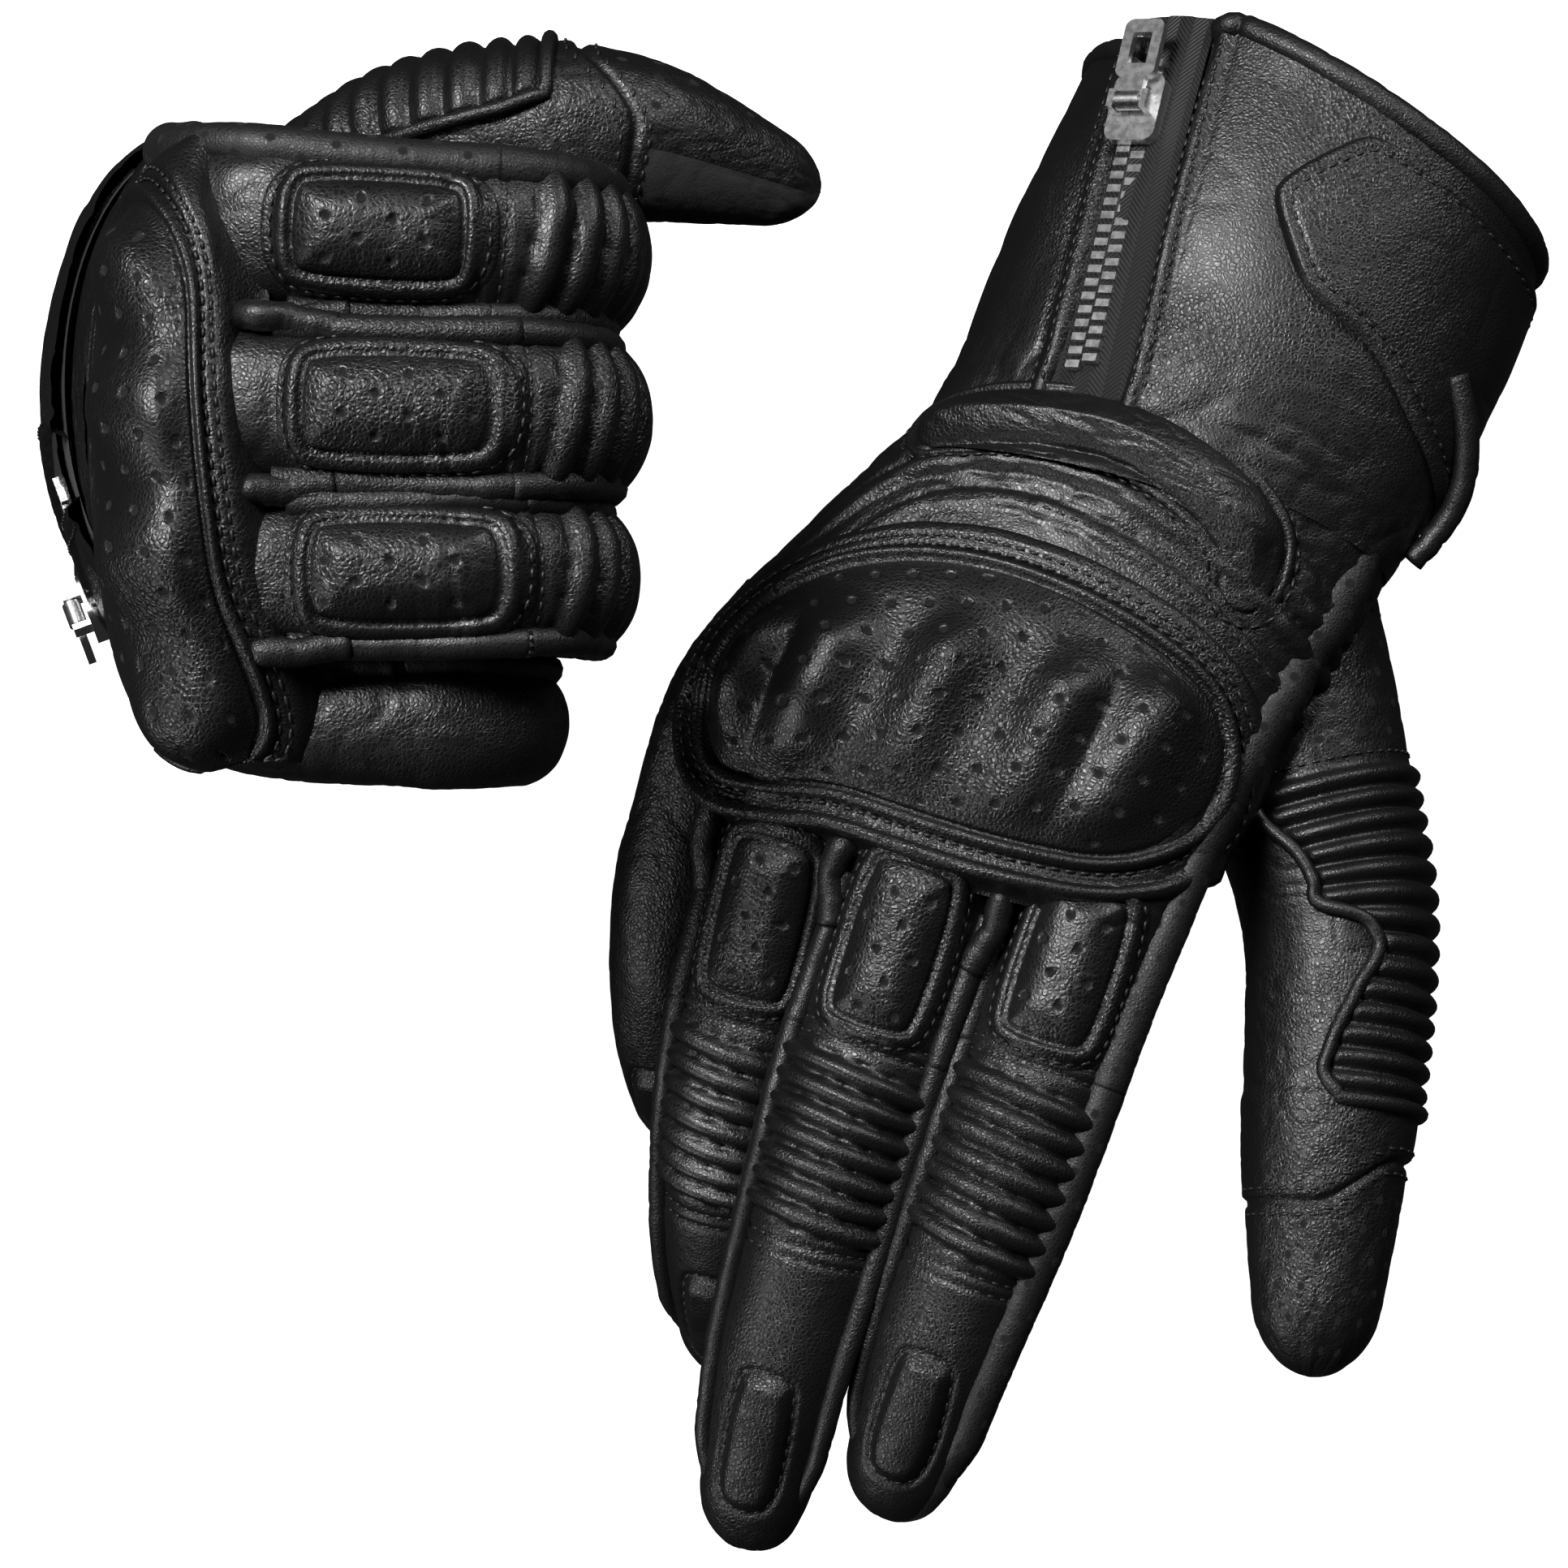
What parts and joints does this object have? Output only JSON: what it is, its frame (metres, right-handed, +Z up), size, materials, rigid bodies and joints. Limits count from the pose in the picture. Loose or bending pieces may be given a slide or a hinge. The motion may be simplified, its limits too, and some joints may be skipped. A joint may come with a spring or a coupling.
{
  "type": "motorcycle riding gloves",
  "caption": "Pair of short-cuff black leather motorcycle riding gloves, one open and one closed to a fist, with perforated knuckle guard, finger pads, bellows, zip cuff and strap.",
  "frame": {"origin": "middle of the pair's footprint, on the surface that the gloves stand on", "axes": "+Z up; +Y is the longer side of the pair's footprint, from the open glove's fingertips to its cuff; +X from the fist glove to the open glove"},
  "size_m": [0.2538, 0.2562, 0.1431],
  "materials": {
    "black_leather": "full-grain black leather, fine pebbled grain, semi-matt",
    "perforated_leather": "black leather punched with small round holes",
    "suede_palm": "matt black suede-like palm leather",
    "leather_piping": "rolled black leather edge",
    "zip_metal": "bright nickel-plated zip metal",
    "zip_tape": "black herringbone-woven tape"
  },
  "bodies": {
    "open_hand": {"open_hand_shell": "black_leather", "open_palm_patch": "suede_palm", "open_knuckle_guard": "perforated_leather", "open_wrist_roll": "black_leather", "open_finger_gussets": "black_leather", "open_thumb_base": "black_leather", "open_thumb_bellows": "black_leather", "open_cuff_shell": "black_leather", "open_cuff_binding": "leather_piping", "open_zip_tape": "zip_tape", "open_zip_teeth": "zip_metal"},
    "open_thumb_end": {"open_thumb_tip": "black_leather"},
    "open_slider": {"open_zip_slider": "zip_metal"},
    "open_pull": {"open_zip_pull": "zip_metal"},
    "open_strap": {"open_cuff_strap": "black_leather"},
    "open_index_root": {"open_index_proximal": "black_leather", "open_index_bellows": "black_leather", "open_index_pad": "perforated_leather"},
    "open_index_end": {"open_index_distal": "black_leather"},
    "open_middle_root": {"open_middle_proximal": "black_leather", "open_middle_bellows": "black_leather", "open_middle_pad": "perforated_leather"},
    "open_middle_end": {"open_middle_distal": "black_leather"},
    "open_ring_root": {"open_ring_proximal": "black_leather", "open_ring_bellows": "black_leather", "open_ring_pad": "perforated_leather"},
    "open_ring_end": {"open_ring_distal": "black_leather"},
    "open_pinky_root": {"open_pinky_proximal": "black_leather", "open_pinky_bellows": "black_leather"},
    "open_pinky_end": {"open_pinky_distal": "black_leather"},
    "fist_hand": {"fist_hand_shell": "black_leather", "fist_palm_patch": "suede_palm", "fist_knuckle_guard": "perforated_leather", "fist_wrist_roll": "black_leather", "fist_finger_gussets": "black_leather", "fist_thumb_base": "black_leather", "fist_thumb_bellows": "black_leather", "fist_cuff_shell": "black_leather", "fist_cuff_binding": "leather_piping", "fist_zip_tape": "zip_tape", "fist_zip_teeth": "zip_metal"},
    "fist_thumb_end": {"fist_thumb_tip": "black_leather"},
    "fist_slider": {"fist_zip_slider": "zip_metal"},
    "fist_pull": {"fist_zip_pull": "zip_metal"},
    "fist_strap": {"fist_cuff_strap": "black_leather"},
    "fist_index_root": {"fist_index_proximal": "black_leather", "fist_index_bellows": "black_leather", "fist_index_pad": "perforated_leather"},
    "fist_index_end": {"fist_index_distal": "black_leather"},
    "fist_middle_root": {"fist_middle_proximal": "black_leather", "fist_middle_bellows": "black_leather", "fist_middle_pad": "perforated_leather"},
    "fist_middle_end": {"fist_middle_distal": "black_leather"},
    "fist_ring_root": {"fist_ring_proximal": "black_leather", "fist_ring_bellows": "black_leather", "fist_ring_pad": "perforated_leather"},
    "fist_ring_end": {"fist_ring_distal": "black_leather"},
    "fist_pinky_root": {"fist_pinky_proximal": "black_leather", "fist_pinky_bellows": "black_leather"},
    "fist_pinky_end": {"fist_pinky_distal": "black_leather"}
  },
  "joints": [
    {"name": "open_index_knuckle", "type": "hinge", "parent": "open_hand", "child": "open_index_root", "pos_m": [0.05407, -0.01538, 0.06604], "axis": [0.9243, -0.3046, 0.23], "range_deg": [-6, 54]},
    {"name": "open_index_middle", "type": "hinge", "parent": "open_index_root", "child": "open_index_end", "pos_m": [0.03671, -0.06284, 0.07293], "axis": [0.9243, -0.3046, 0.23], "range_deg": [-12, 88]},
    {"name": "open_middle_knuckle", "type": "hinge", "parent": "open_hand", "child": "open_middle_root", "pos_m": [0.02677, -0.01052, 0.06387], "axis": [0.9265, -0.2959, 0.2324], "range_deg": [-10, 50]},
    {"name": "open_middle_middle", "type": "hinge", "parent": "open_middle_root", "child": "open_middle_end", "pos_m": [0.00952, -0.06155, 0.06762], "axis": [0.9265, -0.2959, 0.2324], "range_deg": [-10, 90]},
    {"name": "open_ring_knuckle", "type": "hinge", "parent": "open_hand", "child": "open_ring_root", "pos_m": [0.00477, -0.00266, 0.0562], "axis": [0.9292, -0.2786, 0.243], "range_deg": [-20, 40]},
    {"name": "open_ring_middle", "type": "hinge", "parent": "open_ring_root", "child": "open_ring_end", "pos_m": [-0.00864, -0.05162, 0.05134], "axis": [0.9292, -0.2786, 0.243], "range_deg": [-22, 78]},
    {"name": "open_pinky_knuckle", "type": "hinge", "parent": "open_hand", "child": "open_pinky_root", "pos_m": [-0.01106, 0.0089, 0.04294], "axis": [0.9239, -0.2954, 0.243], "range_deg": [-22, 38]},
    {"name": "open_pinky_middle", "type": "hinge", "parent": "open_pinky_root", "child": "open_pinky_end", "pos_m": [-0.02105, -0.02638, 0.03802], "axis": [0.9239, -0.2954, 0.243], "range_deg": [-25, 75]},
    {"name": "open_thumb_bend", "type": "hinge", "parent": "open_hand", "child": "open_thumb_end", "pos_m": [0.09129, -0.02718, 0.05381], "axis": [0.2852, -0.226, -0.9315], "range_deg": [-10, 30]},
    {"name": "open_zip_slide", "type": "slide", "parent": "open_hand", "child": "open_slider", "axis": [-0.2343, -0.9385, 0.2537], "range_m": [0, 0.036]},
    {"name": "open_pull_swing", "type": "hinge", "parent": "open_slider", "child": "open_pull", "pos_m": [0.05635, 0.10646, 0.05693], "axis": [0.8574, -0.0765, 0.509], "range_deg": [0, 170]},
    {"name": "open_strap_peel", "type": "hinge", "parent": "open_hand", "child": "open_strap", "pos_m": [0.1211, 0.07372, 0.0317], "axis": [0.4923, 0.8439, -0.2132], "range_deg": [0, 60]},
    {"name": "fist_index_knuckle", "type": "hinge", "parent": "fist_hand", "child": "fist_index_root", "pos_m": [-0.08426, 0.07752, 0.12004], "axis": [0.0523, 0.9986, 0], "range_deg": [-35, 0]},
    {"name": "fist_index_middle", "type": "hinge", "parent": "fist_index_root", "child": "fist_index_end", "pos_m": [-0.03333, 0.07485, 0.12004], "axis": [0.0523, 0.9986, 0], "range_deg": [-90, 0]},
    {"name": "fist_middle_knuckle", "type": "hinge", "parent": "fist_hand", "child": "fist_middle_root", "pos_m": [-0.08617, 0.05052, 0.12647], "axis": [0.0175, 0.9998, 0], "range_deg": [-35, 0]},
    {"name": "fist_middle_middle", "type": "hinge", "parent": "fist_middle_root", "child": "fist_middle_end", "pos_m": [-0.03218, 0.04957, 0.12647], "axis": [0.0175, 0.9998, 0], "range_deg": [-93, 0]},
    {"name": "fist_ring_knuckle", "type": "hinge", "parent": "fist_hand", "child": "fist_ring_root", "pos_m": [-0.0842, 0.02602, 0.12612], "axis": [0, 1, 0], "range_deg": [-35, 0]},
    {"name": "fist_ring_middle", "type": "hinge", "parent": "fist_ring_root", "child": "fist_ring_end", "pos_m": [-0.0332, 0.02602, 0.12612], "axis": [0, 1, 0], "range_deg": [-93, 0]},
    {"name": "fist_pinky_knuckle", "type": "hinge", "parent": "fist_hand", "child": "fist_pinky_root", "pos_m": [-0.07852, 0.00452, 0.11802], "axis": [0, 1, 0], "range_deg": [-35, 0]},
    {"name": "fist_pinky_middle", "type": "hinge", "parent": "fist_pinky_root", "child": "fist_pinky_end", "pos_m": [-0.04152, 0.00452, 0.11802], "axis": [0, 1, 0], "range_deg": [-90, 0]},
    {"name": "fist_thumb_bend", "type": "hinge", "parent": "fist_hand", "child": "fist_thumb_end", "pos_m": [-0.05442, 0.09952, 0.09346], "axis": [0.0569, 0.5883, -0.8066], "range_deg": [-35, 0]},
    {"name": "fist_zip_slide", "type": "slide", "parent": "fist_hand", "child": "fist_slider", "axis": [0.0005, 0.3805, 0.9248], "range_m": [0, 0.036]},
    {"name": "fist_pull_swing", "type": "hinge", "parent": "fist_slider", "child": "fist_pull", "pos_m": [-0.1216, 0.02463, 0.01632], "axis": [-0.3749, 0.8574, -0.3526], "range_deg": [0, 170]},
    {"name": "fist_strap_peel", "type": "hinge", "parent": "fist_hand", "child": "fist_strap", "pos_m": [-0.08156, 0.08814, 0.00006], "axis": [0.0144, -0.1119, -0.9936], "range_deg": [0, 60]},
    {"name": "fist_glove_lift", "type": "slide", "parent": "open_hand", "child": "fist_hand", "axis": [0, 0, 1], "range_m": [0, 0.25]}
  ]
}
